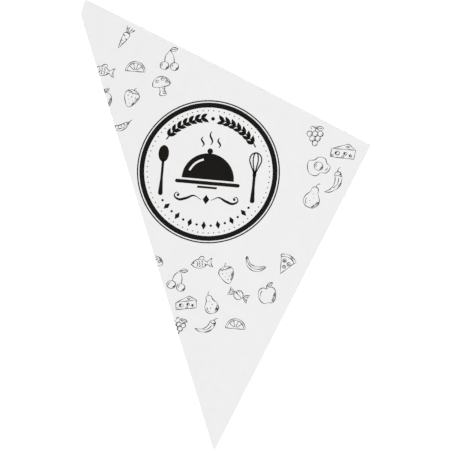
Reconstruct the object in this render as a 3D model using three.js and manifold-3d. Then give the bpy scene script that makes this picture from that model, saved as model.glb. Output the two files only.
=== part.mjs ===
// A paper cone bag as it lies when new, folded flat: one sheet of white paper, creased
// through its tip so that its two halves lie on each other, with a lap of the front half
// turned round the straight side and glued to the back. The mouth is cut square to the
// glued side, and its far corner is notched across the crease.
//
// Each wall is part of a cone about the tip: every line in it from the tip to the mouth is
// straight, so the sheet bends without stretching. The creases spring open a little, so the
// front wall stands off the back one towards the mouth, and both creases lift off the table.
//
// Frame: +Z is up and the printed front faces it, the glued side runs along +Y from the tip
// to the mouth, and the crease is on the -X side. Millimetres.
import * as THREE from "three";
import { mergeVertices } from "three/addons/utils/BufferGeometryUtils.js";
import Module from "manifold-3d";

const SIDE = 230; // glued side, from the tip to the square corner of the mouth
const TIP_ANGLE = THREE.MathUtils.degToRad(44); // between the glued side and the crease
const TIP_BLUNT = 1.5; // length of the tip that the two folds crush flat
const PAPER = 0.1; // thickness of the sheet
const LAP = 14; // width of the glued lap at the mouth
const LAP_AT_TIP = 0.5;
const LAP_STEP_RUN = 4; // length over which the back wall climbs onto the lap, at the mouth
const LAP_STEP_RUN_AT_TIP = 0.35;
const GLUE = 0.04; // thickness of the glue line between the lap and the back wall
const GLUE_BITE = GLUE / 2; // how far the glue soaks into each face that it joins
const GLUE_NEAR = 0.3; // the glue line's edges, as shares of the lap's width
const GLUE_FAR = 0.85;
const GLUE_FROM_TIP = 14; // the glue line stops this far short of the tip,
const GLUE_FROM_MOUTH = 2; // and this far short of the mouth
const EDGE_GAP = 0.15; // between the back wall's hidden edge and the fold around it
const CREASE_GAP = 0.3; // air between the walls at the two folds, at the mouth
const CREASE_GAP_AT_TIP = 0.05;
const GAPE = 8; // how far the front wall bows off the back wall, at the middle of the mouth
const EDGE_LIFT = 1.5; // how far the folds stand off the table, at the mouth
const FLAT_SHARE = 0.5; // the middle share of the back wall that lies flat on the table
const NOTCH_ON_MOUTH = 7.9; // the notch's two legs, from the corner where the mouth
const NOTCH_ON_CREASE = 14.4; // and the crease would meet
const NOTCH_OVERRUN = 6; // how far its cutter runs past the paper

const STATIONS = 9; // cross-sections from the tip to the mouth
const FRONT_STEPS = 36;
const BACK_STEPS = 28;
const FOLD_STEPS = 8;
const LAP_STEPS = 6;
const STEP_STEPS = 5;

const PAPER_WHITE = 0xeeeeee;
const ROUGHNESS = 0.85;

const { lerp, smoothstep } = THREE.MathUtils;

// Everything that a cross-section needs, at one distance from the tip. It is square to the
// glued side, with x from 0 at that side to -width at the crease. All its sizes grow in
// proportion to the distance, so each line from the tip to the mouth comes out straight.
function sectionSizes(distance) {
  const share = distance / SIDE;
  const width = distance * Math.tan(TIP_ANGLE);
  const creaseGap = lerp(CREASE_GAP_AT_TIP, CREASE_GAP, share);
  const foldRadius = (3 * PAPER + GLUE + creaseGap) / 2;
  const lap = lerp(LAP_AT_TIP, LAP, share);
  const stepRun = lerp(LAP_STEP_RUN_AT_TIP, LAP_STEP_RUN, share);
  // How far the table is below the sheet at x: nothing along the middle of the back wall,
  // rising towards both folds.
  const lift = (x) => {
    const fromMiddle = Math.abs((2 * -x) / width - 1);
    const past = Math.max(0, fromMiddle - FLAT_SHARE) / (1 - FLAT_SHARE);
    return share * EDGE_LIFT * past ** 2;
  };
  return { distance, share, width, creaseGap, foldRadius, lap, stepRun, lift };
}

// The sheet's two faces in one cross-section, from the lap's edge round the side fold, over
// the front wall, round the crease and back under the lap's own glue line to the hidden
// edge. outer is the printed face and inner the face that touches the food.
function sheetSection(distance) {
  const s = sectionSizes(distance);
  const outer = [];
  const inner = [];
  const put = (face, x, z) => face.push(new THREE.Vector2(x, z + s.lift(x)));

  // A flat stretch whose printed face looks down, from one x to another.
  const layDown = (from, to, steps, first, heightAt) => {
    for (let i = first; i <= steps; i += 1) {
      const x = lerp(from, to, i / steps);
      put(outer, x, heightAt(x));
      put(inner, x, heightAt(x) + PAPER);
    }
  };
  // A fold: half a turn about its centre. The crease crosses the section at a slant, which
  // stretches it along x.
  const roll = (centreX, startAngle, stretch) => {
    for (let i = 1; i < FOLD_STEPS; i += 1) {
      const angle = startAngle + (Math.PI * i) / FOLD_STEPS;
      for (const [face, radius] of [[outer, s.foldRadius], [inner, s.foldRadius - PAPER]]) {
        const x = centreX + radius * stretch * Math.cos(angle);
        put(face, x, s.foldRadius + radius * Math.sin(angle));
      }
    }
  };

  const slant = 1 / Math.cos(TIP_ANGLE);
  const sideFoldX = -s.foldRadius;
  const creaseX = -s.width + s.foldRadius * slant;
  const hiddenEdgeX = -s.foldRadius - EDGE_GAP;

  layDown(-s.lap, sideFoldX, LAP_STEPS, 0, () => 0);
  roll(sideFoldX, -Math.PI / 2, 1);

  const frontUnderside = 2 * s.foldRadius - PAPER;
  for (let i = 0; i <= FRONT_STEPS; i += 1) {
    const across = i / FRONT_STEPS;
    const x = lerp(sideFoldX, creaseX, across);
    const bow = s.share * GAPE * Math.sin(Math.PI * across);
    put(outer, x, frontUnderside + PAPER + bow);
    put(inner, x, frontUnderside + bow);
  }

  roll(creaseX, Math.PI / 2, slant);

  const onLap = PAPER + GLUE;
  const climb = (x) => onLap * smoothstep(x, -s.lap - s.stepRun, -s.lap);
  layDown(creaseX, -s.lap - s.stepRun, BACK_STEPS, 0, () => 0);
  layDown(-s.lap - s.stepRun, -s.lap, STEP_STEPS, 1, climb);
  layDown(-s.lap, hiddenEdgeX, LAP_STEPS, 1, () => onLap);
  return { y: distance, outer, inner };
}

// The glue line in one cross-section, biting a little into the lap and the back wall.
function glueSection(distance) {
  const s = sectionSizes(distance);
  const outer = [];
  const inner = [];
  for (let i = 0; i <= LAP_STEPS; i += 1) {
    const x = -s.lap * lerp(GLUE_FAR, GLUE_NEAR, i / LAP_STEPS);
    outer.push(new THREE.Vector2(x, PAPER - GLUE_BITE + s.lift(x)));
    inner.push(new THREE.Vector2(x, PAPER + GLUE + GLUE_BITE + s.lift(x)));
  }
  return { y: distance, outer, inner };
}

// A closed solid through cross-sections that share a point count. Each one's ring runs
// along its outer points and back along its inner ones.
function loft(sections) {
  const points = sections[0].outer.length;
  const ring = 2 * points;
  const positions = sections.flatMap(({ y, outer, inner }) =>
    [...outer, ...inner.toReversed()].flatMap((p) => [p.x, y, p.y]),
  );
  const index = [];
  for (let s = 0; s + 1 < sections.length; s += 1) {
    for (let i = 0; i < ring; i += 1) {
      const a = s * ring + i;
      const b = s * ring + ((i + 1) % ring);
      index.push(a, b + ring, b, a, a + ring, b + ring);
    }
  }
  const last = (sections.length - 1) * ring;
  for (let i = 0; i + 1 < points; i += 1) {
    const [a, b, c, d] = [i, i + 1, ring - 2 - i, ring - 1 - i];
    index.push(a, b, c, a, c, d);
    index.push(last + a, last + c, last + b, last + a, last + d, last + c);
  }
  const geometry = new THREE.BufferGeometry();
  geometry.setAttribute("position", new THREE.Float32BufferAttribute(positions, 3));
  geometry.setIndex(index);
  return geometry;
}

function loftBetween(start, end, sectionAt) {
  const sections = [];
  for (let i = 0; i < STATIONS; i += 1) {
    sections.push(sectionAt(lerp(start, end, i / (STATIONS - 1))));
  }
  return loft(sections);
}

// The cutter of the notch: a tall wedge whose face runs from the mouth to the crease.
function notchGeometry() {
  const corner = new THREE.Vector2(-SIDE * Math.tan(TIP_ANGLE), SIDE);
  const onMouth = corner.clone().add(new THREE.Vector2(NOTCH_ON_MOUTH, 0));
  const downCrease = new THREE.Vector2(Math.sin(TIP_ANGLE), -Math.cos(TIP_ANGLE));
  const onCrease = corner.clone().addScaledVector(downCrease, NOTCH_ON_CREASE);
  const cut = onCrease.clone().sub(onMouth).normalize();
  const outward = new THREE.Vector2(cut.y, -cut.x);
  const start = onMouth.clone().addScaledVector(cut, -NOTCH_OVERRUN);
  const end = onCrease.clone().addScaledVector(cut, NOTCH_OVERRUN);
  const reach = NOTCH_ON_MOUTH + NOTCH_OVERRUN;
  const wedge = new THREE.Shape([
    start,
    start.clone().addScaledVector(outward, reach),
    end.clone().addScaledVector(outward, reach),
    end,
  ]);
  const height = GAPE + EDGE_LIFT + 2 * NOTCH_OVERRUN;
  const geometry = new THREE.ExtrudeGeometry(wedge, { depth: height, bevelEnabled: false });
  return geometry.translate(0, 0, -NOTCH_OVERRUN);
}

const wasm = await Module();
wasm.setup();

function solidOf(geometry) {
  const bare = geometry.clone();
  bare.deleteAttribute("normal");
  bare.deleteAttribute("uv");
  const merged = mergeVertices(bare);
  return new wasm.Manifold(
    new wasm.Mesh({
      numProp: 3,
      vertProperties: merged.attributes.position.array,
      triVerts: new Uint32Array(merged.index.array),
    }),
  );
}

function geometryOf(solid) {
  const mesh = solid.getMesh();
  const geometry = new THREE.BufferGeometry();
  geometry.setAttribute("position", new THREE.BufferAttribute(mesh.vertProperties, 3));
  geometry.setIndex(new THREE.BufferAttribute(mesh.triVerts, 1));
  geometry.computeVertexNormals();
  return geometry;
}

function coneBag() {
  const sheet = solidOf(loftBetween(TIP_BLUNT, SIDE, sheetSection));
  const glue = solidOf(loftBetween(GLUE_FROM_TIP, SIDE - GLUE_FROM_MOUTH, glueSection));
  const notch = solidOf(notchGeometry());
  const paper = new THREE.MeshStandardMaterial({ color: PAPER_WHITE, roughness: ROUGHNESS });
  const bag = new THREE.Mesh(geometryOf(sheet.add(glue).subtract(notch)), paper);
  bag.name = "cone_bag";
  return bag;
}

// The origin is on the table, under the middle of the bag.
const bag = coneBag();
bag.geometry.computeBoundingBox();
const { min, max } = bag.geometry.boundingBox;
bag.position.set(-(min.x + max.x) / 2, -(min.y + max.y) / 2, -min.z);

const group = new THREE.Group();
group.add(bag);

export default group;
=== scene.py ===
# A white paper cone bag, folded flat and printed in black line, as it lies on a table.
import math

import bmesh
import bpy
import numpy as np
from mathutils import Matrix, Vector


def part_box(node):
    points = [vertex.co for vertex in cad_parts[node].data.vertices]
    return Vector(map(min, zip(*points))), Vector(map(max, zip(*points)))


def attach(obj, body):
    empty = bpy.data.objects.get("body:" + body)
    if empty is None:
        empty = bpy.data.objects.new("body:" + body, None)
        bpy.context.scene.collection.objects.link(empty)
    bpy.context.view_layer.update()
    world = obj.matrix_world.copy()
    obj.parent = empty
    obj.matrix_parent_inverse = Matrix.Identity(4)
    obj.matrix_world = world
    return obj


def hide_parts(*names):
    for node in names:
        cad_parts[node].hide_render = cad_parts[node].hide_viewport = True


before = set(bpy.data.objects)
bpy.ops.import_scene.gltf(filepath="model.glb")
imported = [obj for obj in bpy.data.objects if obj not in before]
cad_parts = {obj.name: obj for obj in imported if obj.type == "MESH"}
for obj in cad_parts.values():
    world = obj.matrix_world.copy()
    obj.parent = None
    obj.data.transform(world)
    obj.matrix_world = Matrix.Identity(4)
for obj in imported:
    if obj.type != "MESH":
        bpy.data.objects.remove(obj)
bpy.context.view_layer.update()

# The bag's own sizes, in millimetres from its tip, as the solid has them.
SIDE = 230.0
TIP_ANGLE = math.radians(44)
TIP_BLUNT = 1.5
PAPER = 0.1
LAP = 14.0
LAP_AT_TIP = 0.5
STEP_RUN = 4.0
STEP_RUN_AT_TIP = 0.35
GLUE = 0.04
EDGE_GAP = 0.15
CREASE_GAP = 0.3
CREASE_GAP_AT_TIP = 0.05
GAPE = 8.0
EDGE_LIFT = 1.5
FLAT_SHARE = 0.5
NOTCH_ON_MOUTH = 7.9
NOTCH_ON_CREASE = 14.4

SLANT = 1 / math.cos(TIP_ANGLE)
ALONG_CREASE = np.array([-math.sin(TIP_ANGLE), math.cos(TIP_ANGLE)])
PAST_CREASE = np.array([-math.cos(TIP_ANGLE), -math.sin(TIP_ANGLE)])

# Places along the sheet's printed face, in its path parameter t.
LAP_EDGE, SIDE_FOLD, FRONT, CREASE, BACK, STEP, ON_LAP, HIDDEN_EDGE = range(-2, 6)

# The front wall's unevenness: its height at the mouth, and each wave's share of that, its
# turns round the section and along the bag, and its start.
RIPPLE = 0.14
RIPPLE_WAVES = ((1, 7.1, 2.3, 0), (0.7, 4.3, -9.2, 1.1), (0.5, 13.7, 6.1, 0.4))

# The sheet's grid: its points round the section on each stretch, and its rows to the mouth.
LAP_POINTS = 12
FOLD_POINTS = 12
FRONT_POINTS = 100
NOTCHED_POINTS = 6
BACK_POINTS = 60
STEP_POINTS = 8
ON_LAP_POINTS = 10
ROWS = 76
SHARP_ANGLE = math.radians(40)  # edges keener than this stay sharp in the shading
HALVINGS = 60  # of the stretch in which the notch starts, to find that place
HAIR = 1e-9

low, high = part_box("cone_bag")
UNIT = (high.y - low.y) / (SIDE - TIP_BLUNT)
TIP = np.array([high.x, high.y - SIDE * UNIT, low.z])

# The camera: how many millimetres of the bag's plane the view is wide, the middle of them
# from the tip, and how far the view is turned. Its height is in metres.
PHOTO_MM = 301.0
PHOTO_CENTRE = (-62.4, 138.25)
PHOTO_TURN = math.radians(27.06)
CAMERA_HEIGHT = 4.0
SENSOR = 36.0

# The light: how much of a plain level each source gives, and where the lamp is. The lamp's
# place and size and the floor's are in metres.
SKY_LEVEL = 0.4
LAMP_LEVEL = 0.641
LAMP_HEIGHT = 4.0
LAMP_ASIDE = 0.35
LAMP_SIZE = 1.6
FLOOR_HALF = 3.0
FLOOR_BELOW = 0.0001

# The print.
INK_PROUD = 0.03  # how far the ink stands off the paper,
INK_SOAK = 0.02  # and how far it reaches into it
PEN = 0.38  # the width of a drawn line,
PEN_SWELL = 0.4  # the share by which it varies,
PEN_WAVE = 9  # and the length over which it does
UPRIGHT = math.radians(22)  # how far the print is turned from the glued side
LARGE = 1.17  # the scale of the motifs within so many degrees of the glued side
LARGE_WITHIN = 12
LARGE_BEYOND = 160  # and farther than this from the tip
BADGE_CENTRE = (-88.44, 164.84)
UTENSIL_SIZE = 1.12

# How finely the ink's outlines are stepped: arcs and sectors in degrees times millimetres
# of radius, and the rest in millimetres.
ARC_STEP = 28
SECTOR_STEP = 60
CREASE_STEP = 0.14
POINT = 0.02  # a sector's inner radius where it should come to a point
ROUND_END = np.radians([75, 50, 25])  # where the points of a line's round end lie


def mix(a, b, share):
    return a + (b - a) * share


def smooth(share):
    share = np.clip(share, 0, 1)
    return share * share * (3 - 2 * share)


def ripple(y, t):
    """The slight unevenness of the front wall, none of it at the folds."""
    share = y / SIDE
    waves = sum(
        size * np.sin(around * t + along * share + start)
        for size, around, along, start in RIPPLE_WAVES
    )
    return RIPPLE * share * np.sin(math.pi * np.clip(t, 0, 1)) ** 2 * waves


def fold_radius(y):
    return (3 * PAPER + GLUE + mix(CREASE_GAP_AT_TIP, CREASE_GAP, y / SIDE)) / 2


def sheet_point(y, t, proud):
    """A point at distance y along the glued side and at t round the section, standing
    proud of the printed face. Arrays in, millimetres from the tip out."""
    y, t, proud = np.broadcast_arrays(*(np.asarray(v, dtype=float) for v in (y, t, proud)))
    share = y / SIDE
    width = y * math.tan(TIP_ANGLE)
    radius = fold_radius(y)
    lap = mix(LAP_AT_TIP, LAP, share)
    run = mix(STEP_RUN_AT_TIP, STEP_RUN, share)
    side_x = -radius
    crease_x = -width + radius * SLANT
    on_lap = PAPER + GLUE

    side_turn = math.pi * (t - SIDE_FOLD) - math.pi / 2
    crease_turn = math.pi * (t - CREASE) + math.pi / 2
    step_x = mix(-lap - run, -lap, t - STEP)
    xs = [
        mix(-lap, side_x, t - LAP_EDGE),
        side_x + (radius + proud) * np.cos(side_turn),
        mix(side_x, crease_x, t),
        crease_x + (radius + proud) * SLANT * np.cos(crease_turn),
        mix(crease_x, -lap - run, t - BACK),
        step_x,
        mix(-lap, -radius - EDGE_GAP, t - ON_LAP),
    ]
    zs = [
        -proud,
        radius + (radius + proud) * np.sin(side_turn),
        2 * radius + proud + share * GAPE * np.sin(math.pi * t) + ripple(y, t),
        radius + (radius + proud) * np.sin(crease_turn),
        -proud,
        on_lap * smooth(t - STEP) - proud,
        on_lap - proud,
    ]
    here = [t < SIDE_FOLD, t < FRONT, t <= CREASE, t < BACK, t < STEP, t < ON_LAP]
    x = np.select(here, xs[:-1], xs[-1])
    z = np.select(here, zs[:-1], zs[-1])
    past = np.maximum(0, np.abs(-2 * x / width - 1) - FLAT_SHARE) / (1 - FLAT_SHARE)
    return np.stack([x, y, z + share * EDGE_LIFT * past ** 2], axis=-1)


def to_metres(points):
    return TIP + np.asarray(points) * UNIT


def printed_point(points, proud):
    """Where a point of the flat artwork lands on the folded sheet. The artwork's frame is
    the front wall's, and what passes the crease goes round it onto the back wall."""
    points = np.asarray(points, dtype=float)
    along = points @ ALONG_CREASE
    past = points @ PAST_CREASE
    radius = fold_radius(np.clip(along / SLANT, 0, SIDE))
    round_fold = (past + radius) / radius
    on_front = round_fold <= 0
    in_fold = (round_fold > 0) & (round_fold < math.pi)
    folded_past = np.where(
        in_fold, radius * (np.sin(round_fold) - 1), radius * (math.pi - 2) - past
    )
    folded = along[..., None] * ALONG_CREASE + folded_past[..., None] * PAST_CREASE
    spot = np.where(on_front[..., None], points, folded)
    x, y = spot[..., 0], spot[..., 1]
    share = y / SIDE
    side_x = -fold_radius(y)
    crease_x = -y * math.tan(TIP_ANGLE) + fold_radius(y) * SLANT
    step_start = -mix(LAP_AT_TIP, LAP, share) - mix(STEP_RUN_AT_TIP, STEP_RUN, share)
    front_t = (x - side_x) / (crease_x - side_x)
    back_t = BACK + (x - crease_x) / (step_start - crease_x)
    t = np.where(on_front, front_t, np.where(in_fold, CREASE + round_fold / math.pi, back_t))
    return sheet_point(y, t, proud)


# Meshes.


def face_outwards(mesh):
    work = bmesh.new()
    work.from_mesh(mesh)
    bmesh.ops.recalc_face_normals(work, faces=work.faces)
    work.to_mesh(mesh)
    work.free()


def make_object(name, vertices, faces, material):
    mesh = bpy.data.meshes.new(name)
    mesh.from_pydata([tuple(v) for v in vertices], [], faces)
    mesh.validate()
    face_outwards(mesh)
    mesh.polygons.foreach_set("use_smooth", [True] * len(mesh.polygons))
    mesh.set_sharp_from_angle(angle=SHARP_ANGLE)
    mesh.materials.append(material)
    made = bpy.data.objects.new(name, mesh)
    bpy.context.scene.collection.objects.link(made)
    return made


def slab(top, bottom, closed=False):
    """The vertices and faces of a closed thin solid between two grids of points. A closed
    one joins its last row to its first."""
    rows, columns = top.shape[:2]
    vertices = np.concatenate([top.reshape(-1, 3), bottom.reshape(-1, 3)])
    under = rows * columns
    faces = []
    for r in range(rows if closed else rows - 1):
        a, b = r * columns, (r + 1) % rows * columns
        for c in range(columns - 1):
            faces.append((a + c, a + c + 1, b + c + 1, b + c))
            faces.append((under + a + c, under + b + c, under + b + c + 1, under + a + c + 1))
        last = columns - 1
        faces.append((a, b, under + b, under + a))
        faces.append((b + last, a + last, under + a + last, under + b + last))
    if not closed:
        end = (rows - 1) * columns
        for c in range(columns - 1):
            faces.append((c + 1, c, under + c, under + c + 1))
            faces.append((end + c, end + c + 1, under + end + c + 1, under + end + c))
    return vertices, faces


def mouth_end(t):
    """How far from the tip the sheet reaches at t: to the mouth, or to the notch's cut."""
    corner = np.array([-SIDE * math.tan(TIP_ANGLE), SIDE])
    on_mouth = corner + [NOTCH_ON_MOUTH, 0]
    on_crease = corner - ALONG_CREASE * NOTCH_ON_CREASE
    cut = on_crease - on_mouth
    across = np.array([cut[1], -cut[0]])
    reach = across @ on_mouth
    lean = sheet_point(SIDE, t, 0)[..., 0] / SIDE
    return reach / np.maximum(across[0] * lean + across[1], reach / SIDE)


def where_notched(start, end):
    """The t between start and end at which the notch leaves the mouth."""
    for _ in range(HALVINGS):
        middle = (start + end) / 2
        if mouth_end(np.array([middle]))[0] < SIDE - HAIR:
            end = middle
        else:
            start = middle
    return start


def paper_sheet(material):
    """The folded sheet, from its lap's edge round to its hidden edge."""
    front_corner = where_notched((FRONT + CREASE) / 2, CREASE)
    back_corner = where_notched((BACK + STEP) / 2, BACK)
    runs = [
        (LAP_EDGE, SIDE_FOLD, LAP_POINTS),
        (SIDE_FOLD, FRONT, FOLD_POINTS),
        (FRONT, front_corner, FRONT_POINTS),
        (front_corner, CREASE, NOTCHED_POINTS),
        (CREASE, BACK, FOLD_POINTS),
        (BACK, back_corner, NOTCHED_POINTS),
        (back_corner, STEP, BACK_POINTS),
        (STEP, ON_LAP, STEP_POINTS),
        (ON_LAP, HIDDEN_EDGE, ON_LAP_POINTS),
    ]
    t = np.concatenate([np.linspace(*run)[:-1] for run in runs] + [[HIDDEN_EDGE]])
    share = np.linspace(0, 1, ROWS)[:, None]
    y = mix(TIP_BLUNT, mouth_end(t)[None, :], share)
    outer = to_metres(sheet_point(y, t, 0))
    inner = to_metres(sheet_point(y, t, -PAPER))
    vertices, faces = slab(outer, inner)
    return make_object("paper_sheet", vertices, faces, material)


# The artwork's shapes, in millimetres: grids of points that each become a film of ink.


def turned(points, angle, centre=(0, 0), size=1.0):
    points = np.asarray(points, dtype=float) * size
    c, s = math.cos(angle), math.sin(angle)
    return points @ np.array([[c, s], [-s, c]]) + centre


def arc(cx, cy, rx, ry=None, start=0, end=360, tilt=0):
    ry = rx if ry is None else ry
    steps = max(6, int(abs(end - start) * max(rx, ry) / ARC_STEP))
    a = np.radians(np.linspace(start, end, steps + 1))
    points = np.stack([rx * np.cos(a), ry * np.sin(a)], axis=1)
    return turned(points, math.radians(tilt), (cx, cy))


def curve(*knots, loop=False, spacing=0.55):
    """A smooth line through the knots."""
    knots = np.array(knots, dtype=float)
    count = len(knots)
    points = []
    for i in range(count if loop else count - 1):
        if loop:
            a, b, c, d = (knots[(i + k) % count] for k in (-1, 0, 1, 2))
        else:
            b, c = knots[i], knots[i + 1]
            a = knots[i - 1] if i else 2 * b - c
            d = knots[i + 2] if i + 2 < count else 2 * c - b
        steps = max(2, int(np.linalg.norm(c - b) / spacing))
        bend = 2 * a - 5 * b + 4 * c - d
        twist = 3 * (b - c) + d - a
        for s in np.arange(steps) / steps:
            points.append(b + 0.5 * s * (c - a + s * (bend + s * twist)))
    points.append(knots[0] if loop else knots[-1])
    return np.array(points)


def straight(*knots, spacing=1.5):
    points = [np.array(knots[0], dtype=float)]
    for a, b in zip(knots, knots[1:]):
        a, b = np.array(a, dtype=float), np.array(b, dtype=float)
        steps = max(1, int(np.linalg.norm(b - a) / spacing))
        points += [mix(a, b, k / steps) for k in range(1, steps + 1)]
    return np.array(points)


def stroke(path, width=PEN, columns=1, round_ends=True):
    """A pen line along a path, as a grid. Width is one number or one for each point. A path
    that ends where it starts gives a closed line."""
    path = np.asarray(path, dtype=float)
    closed = np.allclose(path[0], path[-1], atol=1e-6) and len(path) > 3
    half = np.broadcast_to(np.asarray(width, dtype=float) / 2, (len(path),)).copy()
    if closed:
        path, half = path[:-1], half[:-1]
        ahead = np.roll(path, -1, axis=0) - path
        behind = np.roll(ahead, 1, axis=0)
    else:
        ahead = np.diff(path, axis=0, append=2 * path[-1:] - path[-2:-1])
        behind = np.concatenate([ahead[:1], ahead[:-1]])
    ahead = ahead / np.linalg.norm(ahead, axis=1, keepdims=True)
    behind = behind / np.linalg.norm(behind, axis=1, keepdims=True)
    heading = ahead + behind
    heading = heading / np.maximum(np.linalg.norm(heading, axis=1, keepdims=True), 1e-6)
    if not closed and round_ends:
        start = path[0] - heading[0] * (half[0] * np.sin(ROUND_END))[:, None]
        end = path[-1] + heading[-1] * (half[-1] * np.sin(ROUND_END[::-1]))[:, None]
        first = heading[:1].repeat(len(start), 0)
        last = heading[-1:].repeat(len(end), 0)
        path = np.concatenate([start, path, end])
        heading = np.concatenate([first, heading, last])
        narrowing = np.cos(ROUND_END)
        half = np.concatenate([half[0] * narrowing, half, half[-1] * narrowing[::-1]])
    left = np.stack([-heading[:, 1], heading[:, 0]], axis=1)
    across = np.linspace(-1, 1, columns + 1)
    grid = path[:, None] + left[:, None] * (half[:, None] * across)[..., None]
    return grid, closed


def filled(first, second, columns=6):
    """The field between two lines with the same number of points."""
    share = np.linspace(0, 1, columns + 1)[None, :, None]
    return mix(np.asarray(first)[:, None], np.asarray(second)[:, None], share), False


def sector(cx, cy, inside, outside, start, end, columns=4):
    steps = max(8, int(abs(end - start) * outside / SECTOR_STEP))
    a = np.radians(np.linspace(start, end, steps + 1))
    rim = np.stack([np.cos(a), np.sin(a)], axis=1)
    return filled(rim * outside + (cx, cy), rim * inside + (cx, cy), columns)


def dot(cx, cy, radius):
    return sector(cx, cy, POINT, radius, 0, 360, columns=2)


def leaf(x, y, angle, length, width):
    """A solid pointed leaf that starts at x, y."""
    bend, fullness, point_width = 0.08, 0.85, 0.06
    share = np.linspace(0, 1, 13)
    spine = np.stack([share * length, bend * length * np.sin(math.pi * share)], axis=1)
    widths = width * np.sin(math.pi * share ** fullness) + point_width
    return stroke(turned(spine, angle, (x, y)), widths, columns=2, round_ends=False)


# The motifs, each about 14 mm high and drawn in one pen width.


def hatching(x, y, angle, count=4, length=1.8, gap=0.72):
    """Short pen strokes side by side, which shade a drawing."""
    run = np.array([math.cos(angle), math.sin(angle)])
    across = np.array([-run[1], run[0]])
    middles = [np.array([x, y]) + k * gap * across for k in range(count)]
    return [straight(m - run * length / 2, m + run * length / 2) for m in middles]


def ticks(cx, cy, rx, ry, start, end, length=1.5, gap=0.66):
    """Short pen strokes inwards from a curved edge, longest halfway along it."""
    count = max(3, round(math.radians(end - start) * (rx + ry) / 2 / gap))
    lines = []
    for share in np.linspace(0, 1, count):
        angle = math.radians(mix(start, end, share))
        out = np.array([math.cos(angle), math.sin(angle)])
        edge = np.array([cx, cy]) + out * (rx, ry)
        depth = length * (0.5 + 0.5 * math.sin(math.pi * share))
        lines.append(straight(edge, edge - depth * out))
    return lines


def leaf_outline(x, y, angle, length, width):
    """A pointed leaf drawn in line, with its middle rib."""
    share = np.linspace(0, 1, 9)
    side = 0.5 * width * np.sin(math.pi * share)
    edge = np.stack([share * length, side], axis=1)
    other = np.stack([share * length, -side], axis=1)[::-1]
    ring = np.concatenate([edge, other[1:]])
    rib = straight((0, 0), (0.75 * length, 0))
    return [turned(ring, angle, (x, y)), turned(rib, angle, (x, y))]


def apple():
    body = curve(
        (0, 3.6), (2.2, 4.6), (5, 3.4), (5.9, -0.2), (4.6, -4.4), (2, -6.1), (0, -5.5),
        (-2, -6.1), (-4.6, -4.4), (-5.9, -0.2), (-5, 3.4), (-2.2, 4.6), loop=True,
    )
    stem = curve((0, 3.4), (0.2, 5.2), (1.1, 6.7))
    shine = arc(-0.6, -0.4, 3.9, 4, 130, 185)
    shade = ticks(0, -0.8, 5.6, 4.9, -58, 16)
    return [body, stem, shine] + shade + leaf_outline(0.7, 5.3, 0.5, 4.2, 2.2)


def pear():
    body = curve(
        (0, 5.6), (1.7, 4.8), (2.3, 2.2), (4.2, -0.8), (4.4, -4), (2.4, -6.3), (0, -6.7),
        (-2.4, -6.3), (-4.4, -4), (-4.2, -0.8), (-2.3, 2.2), (-1.7, 4.8), loop=True,
    )
    stem = curve((0, 5.6), (0.3, 7), (1.4, 8))
    freckles = []
    for x, y in ((-1, -3), (0.6, -1), (-0.4, 1.4)):
        freckles.append(straight((x, y), (x + 0.25, y + 0.2)))
    shine = arc(-0.4, -3, 2.9, 2.7, 160, 225)
    return [body, stem, shine] + freckles + ticks(0, -3, 4.3, 3.6, -72, 12)


def cherries():
    left_stem = curve((-3, -1.6), (-2, 2.4), (1.2, 6))
    right_stem = curve((3.4, -2.8), (3.2, 1.6), (1.2, 6))
    balls = [arc(-3.2, -4.2, 2.9, 2.7), arc(3.4, -5.2, 2.8, 2.6)]
    shines = [arc(-3.2, -4.2, 1.8, 1.7, 120, 190), arc(3.4, -5.2, 1.7, 1.6, 120, 190)]
    shades = ticks(-3.2, -4.2, 2.9, 2.7, -80, 0, 1) + ticks(3.4, -5.2, 2.8, 2.6, -80, 0, 1)
    foliage = leaf_outline(1.2, 6, 0.1, 5.2, 2.6)
    return [left_stem, right_stem] + balls + shines + shades + foliage


def carrot():
    body = curve(
        (-1.9, 2.9), (0, 3.7), (1.9, 2.9), (2, 0.4), (1, -4.2), (0, -8), (-1, -4.2), (-2, 0.4),
        loop=True,
    )
    rings = [
        straight((-1.9, 1.2), (-0.7, 1)),
        straight((1.8, -0.4), (0.6, -0.6)),
        straight((-1.3, -2.4), (-0.3, -2.6)),
        straight((0.9, -4.2), (0.2, -4.3)),
    ]
    tops = [curve((x / 3, 3.6), (0.7 * x, 5.6), (x, 7.6)) for x in (-2.8, -1, 1, 2.8)]
    feathers = [straight((0.75 * x, 5.8), (0.75 * x + 0.9, 6.8)) for x in (-2.8, 1, 2.8)]
    return [body] + rings + tops + feathers


def mushroom():
    cap = arc(0, 0.6, 6, 5.6, 0, 180)
    rim = arc(0, 0.6, 6, 1.5, 180, 360)
    stem = curve(
        (-1.9, -0.6), (-1.6, -3.4), (-2.2, -6), (0, -6.7), (2.2, -6), (1.6, -3.4), (1.9, -0.6),
    )
    spots = [arc(-2.4, 3.4, 1, 0.8), arc(1.4, 4.3, 1.1, 0.8), arc(3.6, 2.2, 0.8, 0.7)]
    shade = ticks(0, 0.6, 6, 5.6, 4, 52, 1.3) + hatching(0.9, -5.3, 0.05, 4, 1.3, 1.1)
    return [cap, rim, stem] + spots + shade


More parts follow.
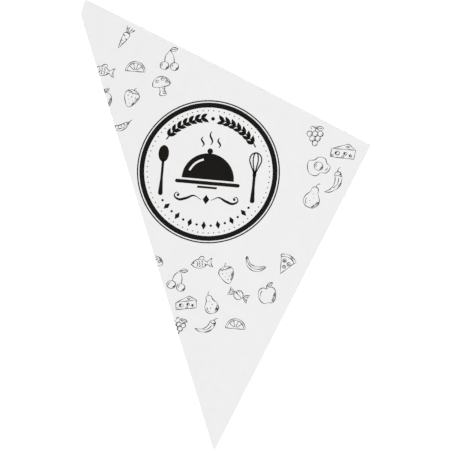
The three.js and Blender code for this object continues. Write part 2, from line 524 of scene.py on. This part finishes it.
def fish():
    back = curve((-6.6, 0), (-3.6, 2.5), (0.6, 2.9), (4.2, 0.7))
    belly = curve((-6.6, 0), (-3.6, -2.5), (0.6, -2.9), (4.2, -0.7))
    tail = curve((4.2, 0.7), (6, 2.2), (7.6, 3))
    tail_end = curve((7.6, 3), (6.6, 0), (7.6, -3))
    low_tail = curve((7.6, -3), (6, -2.2), (4.2, -0.7))
    fin = curve((-1.8, 2.9), (0.2, 4.7), (2.4, 4.2), (1.8, 2.5))
    spots = [(-1.6, -1.1), (-1.6, 0.9), (0.2, -1.1), (0.2, 0.9), (2, -1.1)]
    scales = [arc(x, y, 0.9, 1, -70, 70) for x, y in spots]
    face = [arc(-3.4, 0, 1.1, 2.1, -70, 70), arc(-4.9, 0.7, 0.35)]
    return [back, belly, tail, tail_end, low_tail, fin] + scales + face


def cheese():
    top = straight((-7, 0.2), (1.8, 4.8), (6.6, 2.3), (-7, 0.2))
    front = straight((-7, 0.2), (-7, -4.6), (6.6, -3), (6.6, 2.3))
    holes = [arc(0.2, -3, 0.7, 0.6, 20, 330), arc(1.6, 3, 1, 0.4)]
    for x, y, radius in ((-3.4, -1.6, 1.3), (1.2, -0.9, 1.0), (4.3, -1.5, 0.8)):
        holes.append(arc(x, y, radius, 0.85 * radius))
        holes += ticks(x, y, radius, 0.85 * radius, 90, 215, 0.9, 0.42)
    return [top, front] + holes + hatching(-6.3, -3.6, -math.pi / 2, 2, 1.3, 0.8)


def lemon_slice():
    """Half a slice, with its segments fanning from the middle of the cut."""
    cut, peel, pith, core = -2.6, 6.6, 5.5, 1.4
    rim = np.concatenate([arc(0, cut, peel, peel, 0, 180), straight((-peel, cut), (peel, cut))[1:]])
    flesh = arc(0, cut, pith, pith, 4, 176)
    spokes = []
    for angle in np.radians([40, 73, 107, 140]):
        out = np.array([math.cos(angle), math.sin(angle)])
        spokes.append(straight((0, cut) + core * out, (0, cut) + pith * out))
    return [rim, flesh] + spokes


def fried_egg():
    white = curve(
        (-6.2, 0.6), (-4.8, 3.8), (-1.6, 3.9), (1, 5.2), (4.4, 4), (5.2, 1), (6.8, -1.4),
        (4.2, -4.2), (0.8, -3.8), (-2, -5.2), (-5.4, -3.4), loop=True,
    )
    yolk = arc(0.2, 0.1, 2.5, 2.4)
    shine = arc(0.2, 0.1, 1.6, 1.5, 110, 190)
    fold = curve((3.4, -2.9), (4.6, -2.2), (5.4, -1.2))
    return [white, yolk, shine, fold] + ticks(0.2, 0.1, 2.5, 2.4, -80, 0, 0.9)


def strawberry():
    body = curve(
        (0, 3.2), (3, 4), (5, 1.8), (3.8, -2.4), (0, -6.6), (-3.8, -2.4), (-5, 1.8), (-3, 4),
        loop=True,
    )
    crown = straight(
        (-4, 4.2), (-2.2, 2.7), (-1.2, 4), (0, 2.3), (1.2, 4), (2.2, 2.7), (4, 4.2),
        (1.2, 5.2), (0, 5), (-1.2, 5.2), (-4, 4.2),
    )
    stem = curve((0, 5), (0.2, 6.2), (0.9, 7))
    seeds = []
    for x, y in ((-2.6, 1), (0, 0.8), (2.6, 1), (-1.3, -1.4), (1.3, -1.4), (0, -3.6)):
        seeds.append(straight((x, y), (x, y - 0.5)))
    shade = ticks(0, 1.2, 4.6, 6.4, -62, -2, 1.3)
    return [body, crown, stem] + seeds + shade


def pea_pod():
    spine = curve((-7.2, 1.6), (-4, -1.4), (0, -2.6), (4, -1.4), (7.2, 1.6))
    opening = curve((-7.2, 1.6), (-4, 1.9), (0, 1.2), (4, 1.9), (7.2, 1.6))
    lip = curve((-6.4, 1.2), (-3.6, -0.5), (0, -1.1), (3.6, -0.5), (6.4, 1.2))
    stalk = curve((7.2, 1.6), (8.2, 2.4), (8.8, 2.2))
    pea, sag = 1.15, 0.03
    places = (-4.2, -2.1, 0, 2.1, 4.2)
    peas = [arc(x, 0.3 + sag * x * x, pea, pea, -25, 205) for x in places]
    return [spine, opening, lip] + peas + [stalk]


def chilli():
    outside = curve((3.3, 4.2), (4, 1.2), (1.6, -3.4), (-3.2, -5.8), (-6.6, -5.4))
    inside = curve((-6.6, -5.4), (-2.8, -3.8), (-0.4, -0.6), (0.2, 3.2))
    cap = curve(
        (-0.4, 3.2), (0.6, 4.9), (2.2, 5.4), (3.8, 4.2), (2.7, 3.6), (1.6, 3), (0.6, 3.6),
        loop=True,
    )
    stem = curve((1.9, 5.3), (2.2, 6.8), (3.4, 7.8))
    shine = curve((2.2, 1.6), (1.2, -1.4), (-1.4, -3.6))
    shade = hatching(3.5, 2.6, 0.2, 2, -1.1, 0.9) + ticks(-2.2, 0.6, 6, 6, -58, -22, 1.2, 0.8)
    return [outside, inside, cap, stem, shine] + shade


def grapes():
    berry = 1.55
    top_row = [(-2 * berry, 2.6), (0, 2.6), (2 * berry, 2.6)]
    places = top_row + [(-berry, -0.1), (berry, -0.1), (0, -2.8)]
    berries = [arc(x, y, berry) for x, y in places]
    shades = []
    for x, y in places:
        shades += ticks(x, y, berry, berry, -75, 5, 0.7)
    stem = curve((0, 4.2), (0.1, 5.9), (1.2, 7.2))
    tendril = curve((0.1, 6), (-1.5, 6.9), (-2.7, 6.3), (-2, 5.4))
    return berries + shades + [stem, tendril] + leaf_outline(0.6, 5.6, 0.05, 4.4, 2.4)


def banana():
    outside = curve((-6.2, 3.8), (-5.4, -0.8), (-1.8, -4), (3, -4.4), (6.6, -2.2))
    inside = curve((-4.6, 4), (-3.4, 0.9), (-0.4, -1), (3, -1.6), (6.4, -1.4))
    stalk = curve((-6.2, 3.8), (-5.9, 5.4), (-4.9, 5.4), (-4.6, 4))
    tip = curve((6.6, -2.2), (7.1, -1.8), (6.4, -1.4))
    ridge = curve((-5.4, 3.4), (-4.2, 0), (-1, -2.5), (3, -3.1), (6, -2.1))
    return [outside, inside, ridge, stalk, tip] + hatching(-5.3, 4.4, 1.5, 2, 1.0, 0.5)


def pizza_slice():
    crust = curve(
        (-5.6, 4.6), (-3, 6.1), (0, 6.6), (3, 6.1), (5.6, 4.6), (5, 3.4), (2.6, 4.6), (0, 5),
        (-2.6, 4.6), (-5, 3.4), loop=True,
    )
    sides = straight((-4.8, 3.4), (0, -7.2), (4.8, 3.4))
    rounds = []
    shades = []
    for x, y, radius in ((-1.6, 2.0, 1.25), (1.9, 1.1, 1.15), (0, -2.0, 1.05)):
        rounds.append(arc(x, y, radius))
        shades += hatching(x + 0.3, y - 0.4, 0.7, 2, 1.0, 0.6)
    return [crust, sides] + rounds + shades + ticks(0, 1.4, 4.4, 5.0, 48, 76, 0.9)


def wrapped_sweet():
    ball = arc(0, 0, 3.1)
    swirl = curve((-2.4, 1.2), (-0.6, 0.2), (0.6, -0.2), (2.4, -1.2))
    shine = arc(0, 0, 2.1, 2.1, 100, 170)
    fans = []
    for s in (-1, 1):
        fans.append(straight((3 * s, 0.6), (7 * s, 3), (6.2 * s, 0), (7 * s, -3), (3 * s, -0.6)))
        fans.append(straight((3.6 * s, 0.2), (6.3 * s, 1.3)))
        fans.append(straight((3.6 * s, -0.2), (6.3 * s, -1.3)))
    return [ball, swirl, shine] + fans


# Where each motif goes: its distance from the tip, its angle from the glued side, its turn.
# Those beside the glued side, near the mouth, are drawn larger.
MOTIFS = [
    (cherries, 264, 33.6, 8), (carrot, 283, 39.2, -28), (lemon_slice, 262, 38.6, 0),
    (mushroom, 247, 35.2, 14), (fish, 265, 43.3, -6), (strawberry, 243, 40.2, -16),
    (pea_pod, 226, 43.2, 20), (apple, 247, 44.6, 4),
    (grapes, 220, 9.2, 4), (cheese, 218.5, 3.7, -8), (fried_egg, 203, 7.0, 12),
    (chilli, 198, 2.9, 10), (pear, 183, 5.9, -14),
    (pizza_slice, 134, 6.2, -24), (banana, 128, 14.6, 6), (strawberry, 119, 23.0, 18),
    (fish, 126, 31.0, 10), (cherries, 118, 39.2, -4), (mushroom, 131, 44.9, 8),
    (apple, 111, 8.4, 12), (wrapped_sweet, 106, 18.2, -20), (pear, 99, 28.4, 22),
    (cheese, 101, 37.6, 4), (grapes, 86, 43.4, -10), (lemon_slice, 86, 17.4, 0),
    (chilli, 84, 30.0, -24),
]


def near_crease(path):
    """Whether a path comes close enough to the crease to bend with it."""
    before, beyond = 1, 2
    past = path @ PAST_CREASE
    return past.max() > -before and past.min() < beyond


def refined(path, spacing):
    """The same path with more points."""
    parts = [path[:1]]
    for a, b in zip(path, path[1:]):
        steps = max(1, int(np.ceil(np.linalg.norm(b - a) / spacing)))
        parts.append(mix(a, b, (np.arange(1, steps + 1) / steps)[:, None]))
    return np.concatenate(parts)


def pen_widths(path, phase):
    """A hand's uneven pressure along a line."""
    steps = np.linalg.norm(np.diff(path, axis=0), axis=1)
    run = np.concatenate([[0], np.cumsum(steps)])
    waves = max(1, round(run[-1] / PEN_WAVE))
    return PEN * (1 + PEN_SWELL * np.sin(phase + 2 * math.pi * waves * run / run[-1]))


def motif_strokes():
    """Every motif in its place, with more points where a line crosses the crease."""
    strokes = []
    for motif, distance, angle, turn in MOTIFS:
        a = math.radians(angle)
        centre = (-distance * math.sin(a), distance * math.cos(a))
        large = angle < LARGE_WITHIN and distance > LARGE_BEYOND
        size = LARGE if large else 1.0
        for number, path in enumerate(motif()):
            placed = turned(path, UPRIGHT + math.radians(turn), centre, size)
            crossing = near_crease(placed)
            if crossing:
                placed = refined(placed, CREASE_STEP)
            widths = pen_widths(placed, distance + number)
            strokes.append(stroke(placed, widths, columns=4 if crossing else 1))
    return strokes


# The badge, about its own centre.


def handle(x, neck, width, swell):
    """A straight handle that widens towards its foot."""
    foot, narrowed = -15.0, 0.45
    share = np.linspace(0, 1, 25)
    widths = width + swell * np.clip(narrowed - share, 0, 1) / narrowed
    path = mix(np.array([x, foot]), np.array([x, neck]), share[:, None])
    return stroke(path, widths, 2)


def spoon(x):
    """A solid oval bowl on a handle."""
    bowl_y, bowl_width, bowl_height, point_width = 8.6, 6.2, 10.0, 0.05
    turn = np.linspace(-math.pi / 2, math.pi / 2, 25)
    rise = bowl_y + bowl_height / 2 * np.sin(turn)
    half = (bowl_width * np.cos(turn) + point_width) / 2
    left = np.stack([x - half, rise], axis=1)
    right = np.stack([x + half, rise], axis=1)
    return [handle(x, 4.4, 1.5, 1.3), filled(right, left, 4)]


def whisk(x):
    """Looped wires, one inside the other, on a handle."""
    foot, shoulder, belly, crown, top = 0.8, 4.0, 9.0, 12.4, 13.8
    at_shoulder, at_crown = 0.45, 0.75
    collar_foot, collar_top, collar_width = 0.0, 2.0, 2.2
    wire = 0.75
    collar = straight((x, collar_foot), (x, collar_top))
    parts = [handle(x, 1.6, 1.7, 1.1), stroke(collar, collar_width, 2)]
    for half in (3.5, 1.5):
        side = [(at_shoulder * half, shoulder), (half, belly), (at_crown * half, crown)]
        climb = [(x - across, y) for across, y in side]
        descent = [(x + across, y) for across, y in reversed(side)]
        parts.append(stroke(curve((x, foot), *climb, (x, top), *descent, (x, foot)), wire))
    return parts


def cloche():
    """A serving dome with a shine in it, on its plate."""
    base, dome, knob = -5.2, 17.5, 1.9
    shine_inside, shine_outside = 13.0, 14.3
    shine_start, shine_end = 106, 158
    lapped = 0.15
    inside, outside = shine_inside - lapped, shine_outside + lapped
    plate_half, plate_y, plate_thick = 20.5, base - 2.4, 2.4
    foot_half, foot_y, foot_thick = 6, base - 5.3, 1.4
    plate = straight((-plate_half, plate_y), (plate_half, plate_y))
    foot = straight((-foot_half, foot_y), (foot_half, foot_y))
    return [
        sector(0, base, POINT, shine_inside, 0, 180, 8),
        sector(0, base, inside, outside, 0, shine_start, 1),
        sector(0, base, inside, outside, shine_end, 180, 1),
        sector(0, base, shine_outside, dome, 0, 180, 2),
        dot(0, base + dome + 1.5, knob),
        stroke(plate, plate_thick, 2),
        stroke(foot, foot_thick, 1),
    ]


def garland():
    """Leaves in pairs along the upper arc, with a berry between the two ends at the top."""
    radius, berry, stalk_width = 35.5, 1.3, 0.8
    stalk_start, stalk_end, first_pair = 9, 57, 53
    pairs, pitch, lean = 7, 6.7, 0.55
    leaf_length, leaf_width = 5.6, 2.5
    parts = [dot(0, radius, berry)]
    for side in (-1, 1):
        stalk = arc(0, 0, radius, radius, 90 + side * stalk_start, 90 + side * stalk_end)
        parts.append(stroke(stalk, stalk_width))
        for k in range(pairs):
            a = math.radians(90 + side * (first_pair - pitch * k))
            x, y = radius * math.cos(a), radius * math.sin(a)
            forward = a - side * math.pi / 2
            parts.append(leaf(x, y, forward - lean, leaf_length, leaf_width))
            parts.append(leaf(x, y, forward + lean, leaf_length, leaf_width))
    return parts


def lozenge(x, y, angle, height, width):
    """A solid lozenge whose long way runs along the angle."""
    point_width = 0.05
    share = np.linspace(-1, 1, 9)
    path = np.stack([share * height / 2, np.zeros(len(share))], axis=1)
    widths = width * (1 - np.abs(share)) + point_width
    return stroke(turned(path, angle, (x, y)), widths, 2, round_ends=False)


def lower_chain():
    """Lozenges and dots by turns along the lower arc."""
    radius, pitch = 36, 7.6
    parts = []
    for k in range(-7, 8):
        a = math.radians(270 + pitch * k)
        x, y = radius * math.cos(a), radius * math.sin(a)
        if k % 2:
            parts.append(dot(x, y, 0.85))
        else:
            parts.append(lozenge(x, y, a, 5.6, 3.1))
    return parts


def flourish():
    """A lozenge between two scrolls, under the plate."""
    parts = [lozenge(0, -18.6, math.pi / 2, 6.4, 4.4)]
    thin, swell = 0.4, 1.3
    knots = [
        (3.6, -18.8), (8.4, -16.6), (13.2, -18.7), (18, -20), (21.3, -17.9), (20, -15.3),
        (18, -16.6),
    ]
    for side in (-1, 1):
        path = curve(*((side * x, y) for x, y in knots))
        share = np.linspace(0, 1, len(path))
        parts.append(stroke(path, thin + swell * np.sin(math.pi * share) ** 2))
        parts.append(dot(side * 18.9, -17.1, 0.9))
    return parts


def steam():
    """Three curls above the dome."""
    sway, thin, swell = 0.9, 0.35, 0.9
    curls = []
    for x, low_end, high_end in ((-5.5, 16.5, 23), (0, 18, 27), (5.5, 16.5, 23)):
        rise = np.linspace(0, 1, 19)
        across = x + sway * np.sin(2 * math.pi * rise)
        path = np.stack([across, mix(low_end, high_end, rise)], axis=1)
        curls.append(stroke(path, thin + swell * np.sin(math.pi * rise)))
    return curls


def rings():
    """A thin ring round a thick one, with a circle of beads inside them."""
    thin, thin_width = 47.38, 0.85
    thick, thick_width = 44.53, 3.25
    bead_circle, bead, pitch = 40.9, 0.42, 5
    parts = [stroke(arc(0, 0, thin), thin_width), stroke(arc(0, 0, thick), thick_width, 2)]
    for a in np.radians(np.arange(0, 360, pitch)):
        parts.append(dot(bead_circle * math.cos(a), bead_circle * math.sin(a), bead))
    return parts


def badge_strokes():
    """The whole badge, turned upright and set in its place on the sheet."""
    aside = 27.5
    parts = rings() + garland() + lower_chain() + flourish() + cloche() + steam()
    parts += [(grid * UTENSIL_SIZE, closed) for grid, closed in spoon(-aside) + whisk(aside)]
    return [(turned(grid, UPRIGHT, BADGE_CENTRE), closed) for grid, closed in parts]


def ink_film(name, strokes, material):
    """A thin closed solid of ink for each stroke, all in one object, laid on the sheet."""
    all_vertices = []
    all_faces = []
    count = 0
    for grid, closed in strokes:
        top = to_metres(printed_point(grid, INK_PROUD))
        bottom = to_metres(printed_point(grid, -INK_SOAK))
        vertices, faces = slab(top, bottom, closed)
        all_vertices.append(vertices)
        all_faces += [tuple(i + count for i in face) for face in faces]
        count += len(vertices)
    return make_object(name, np.concatenate(all_vertices), all_faces, material)


# Materials.


def linear(value):
    value /= 255
    return value / 12.92 if value <= 0.04045 else ((value + 0.055) / 1.055) ** 2.4


def colour(red, green, blue):
    return (linear(red), linear(green), linear(blue), 1)


def new_material(name):
    made = bpy.data.materials.new(name)
    made.use_nodes = True
    return made, made.node_tree.nodes, made.node_tree.links


def paper_material():
    """White paper: a cloudy formation and fine fibres, in colour and in relief."""
    made, nodes, links = new_material("white_paper")
    surface = nodes["Principled BSDF"]
    surface.inputs["Roughness"].default_value = 0.72
    surface.inputs["Specular IOR Level"].default_value = 0.25
    place = nodes.new("ShaderNodeTexCoord")

    def noise(scale, detail, stretch=(1, 1, 1), turn=0.0):
        mapping = nodes.new("ShaderNodeMapping")
        mapping.inputs["Scale"].default_value = stretch
        mapping.inputs["Rotation"].default_value = (0, 0, turn)
        texture = nodes.new("ShaderNodeTexNoise")
        texture.inputs["Scale"].default_value = scale
        texture.inputs["Detail"].default_value = detail
        links.new(place.outputs["Object"], mapping.inputs["Vector"])
        links.new(mapping.outputs["Vector"], texture.inputs["Vector"])
        return texture.outputs["Fac"]

    cloud = noise(160, 3)
    fibres = noise(900, 4, (1, 0.22, 1), 0.5)
    cross_fibres = noise(900, 4, (0.22, 1, 1), -0.2)

    weave = nodes.new("ShaderNodeMath")
    weave.operation = "ADD"
    links.new(fibres, weave.inputs[0])
    links.new(cross_fibres, weave.inputs[1])
    tone = nodes.new("ShaderNodeMath")
    tone.operation = "MULTIPLY_ADD"
    links.new(weave.outputs[0], tone.inputs[0])
    tone.inputs[1].default_value = 0.35
    links.new(cloud, tone.inputs[2])
    ramp = nodes.new("ShaderNodeMapRange")
    ramp.inputs["From Min"].default_value = 0.55
    ramp.inputs["From Max"].default_value = 1.15
    links.new(tone.outputs[0], ramp.inputs["Value"])
    tint = nodes.new("ShaderNodeMix")
    tint.data_type = "RGBA"
    tint.inputs[6].default_value = colour(236.5, 236.5, 236.5)
    tint.inputs[7].default_value = colour(239.5, 239.5, 239.5)
    links.new(ramp.outputs["Result"], tint.inputs[0])
    links.new(tint.outputs[2], surface.inputs["Base Color"])

    bump = nodes.new("ShaderNodeBump")
    bump.inputs["Strength"].default_value = 0.25
    bump.inputs["Distance"].default_value = 0.00004
    links.new(weave.outputs[0], bump.inputs["Height"])
    links.new(bump.outputs["Normal"], surface.inputs["Normal"])
    return made


def ink_material():
    """Near-black ink, a little mottled where the paper took up less of it."""
    made, nodes, links = new_material("black_ink")
    surface = nodes["Principled BSDF"]
    surface.inputs["Roughness"].default_value = 0.7
    surface.inputs["Specular IOR Level"].default_value = 0.06
    place = nodes.new("ShaderNodeTexCoord")
    mottle = nodes.new("ShaderNodeTexNoise")
    mottle.inputs["Scale"].default_value = 1400
    mottle.inputs["Detail"].default_value = 3
    links.new(place.outputs["Object"], mottle.inputs["Vector"])
    tint = nodes.new("ShaderNodeMix")
    tint.data_type = "RGBA"
    tint.inputs[6].default_value = colour(14, 12, 10)
    tint.inputs[7].default_value = colour(32, 28, 25)
    links.new(mottle.outputs["Fac"], tint.inputs[0])
    links.new(tint.outputs[2], surface.inputs["Base Color"])
    return made


def floor_material():
    """White to the camera where it is lit, and darker only in the bag's own shadow."""
    made, nodes, links = new_material("white_floor")
    nodes.remove(nodes["Principled BSDF"])
    matt = nodes.new("ShaderNodeBsdfDiffuse")
    matt.inputs["Color"].default_value = (0.9, 0.9, 0.9, 1)
    glow = nodes.new("ShaderNodeEmission")
    rays = nodes.new("ShaderNodeLightPath")
    seen = nodes.new("ShaderNodeMath")
    seen.operation = "MAXIMUM"
    links.new(rays.outputs["Is Camera Ray"], seen.inputs[0])
    links.new(rays.outputs["Is Glossy Ray"], seen.inputs[1])
    level = nodes.new("ShaderNodeMath")
    level.operation = "MULTIPLY"
    level.inputs[1].default_value = 0.3
    links.new(seen.outputs[0], level.inputs[0])
    links.new(level.outputs[0], glow.inputs["Strength"])
    both = nodes.new("ShaderNodeAddShader")
    links.new(matt.outputs[0], both.inputs[0])
    links.new(glow.outputs[0], both.inputs[1])
    links.new(both.outputs[0], nodes["Material Output"].inputs["Surface"])
    return made


# The set: camera, light and floor.


def set_camera():
    """A long lens straight above the bag, turned as in the photo."""
    data = bpy.data.cameras.new("camera")
    data.sensor_width = SENSOR
    data.lens = SENSOR * CAMERA_HEIGHT / (PHOTO_MM * UNIT)
    data.clip_end = 10
    camera = bpy.data.objects.new("camera", data)
    x, y, _ = to_metres((*PHOTO_CENTRE, 0))
    camera.location = (x, y, CAMERA_HEIGHT)
    camera.rotation_euler = (0, 0, PHOTO_TURN)
    bpy.context.scene.collection.objects.link(camera)
    bpy.context.scene.camera = camera


def set_light():
    """An even sky, and a soft lamp nearly overhead, a little to the right of the view."""
    world = bpy.data.worlds.new("studio")
    world.use_nodes = True
    world.node_tree.nodes["Background"].inputs["Color"].default_value = (1, 1, 1, 1)
    world.node_tree.nodes["Background"].inputs["Strength"].default_value = SKY_LEVEL
    bpy.context.scene.world = world
    data = bpy.data.lights.new("softbox", "AREA")
    data.shape = "SQUARE"
    data.size = LAMP_SIZE
    data.energy = LAMP_LEVEL * (math.pi * LAMP_HEIGHT) ** 2
    lamp = bpy.data.objects.new("softbox", data)
    lamp.location = (LAMP_ASIDE, -LAMP_ASIDE / 2, LAMP_HEIGHT)
    lamp.rotation_mode = "QUATERNION"
    lamp.rotation_quaternion = (-lamp.location).to_track_quat("-Z", "Y")
    bpy.context.scene.collection.objects.link(lamp)


def set_floor():
    half = FLOOR_HALF
    corners = [(-half, -half, 0), (half, -half, 0), (half, half, 0), (-half, half, 0)]
    floor = make_object("floor", corners, [(0, 1, 2, 3)], floor_material())
    floor.location.z = low.z - FLOOR_BELOW


set_camera()
set_light()
set_floor()
bpy.context.scene.view_settings.view_transform = "Standard"

ink = ink_material()
sheet = paper_sheet(paper_material())
badge = ink_film("printed_badge", badge_strokes(), ink)
motifs = ink_film("printed_motifs", motif_strokes(), ink)

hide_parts("cone_bag")
for piece, slot in ((sheet, "paper"), (badge, "ink"), (motifs, "ink")):
    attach(piece, "root")
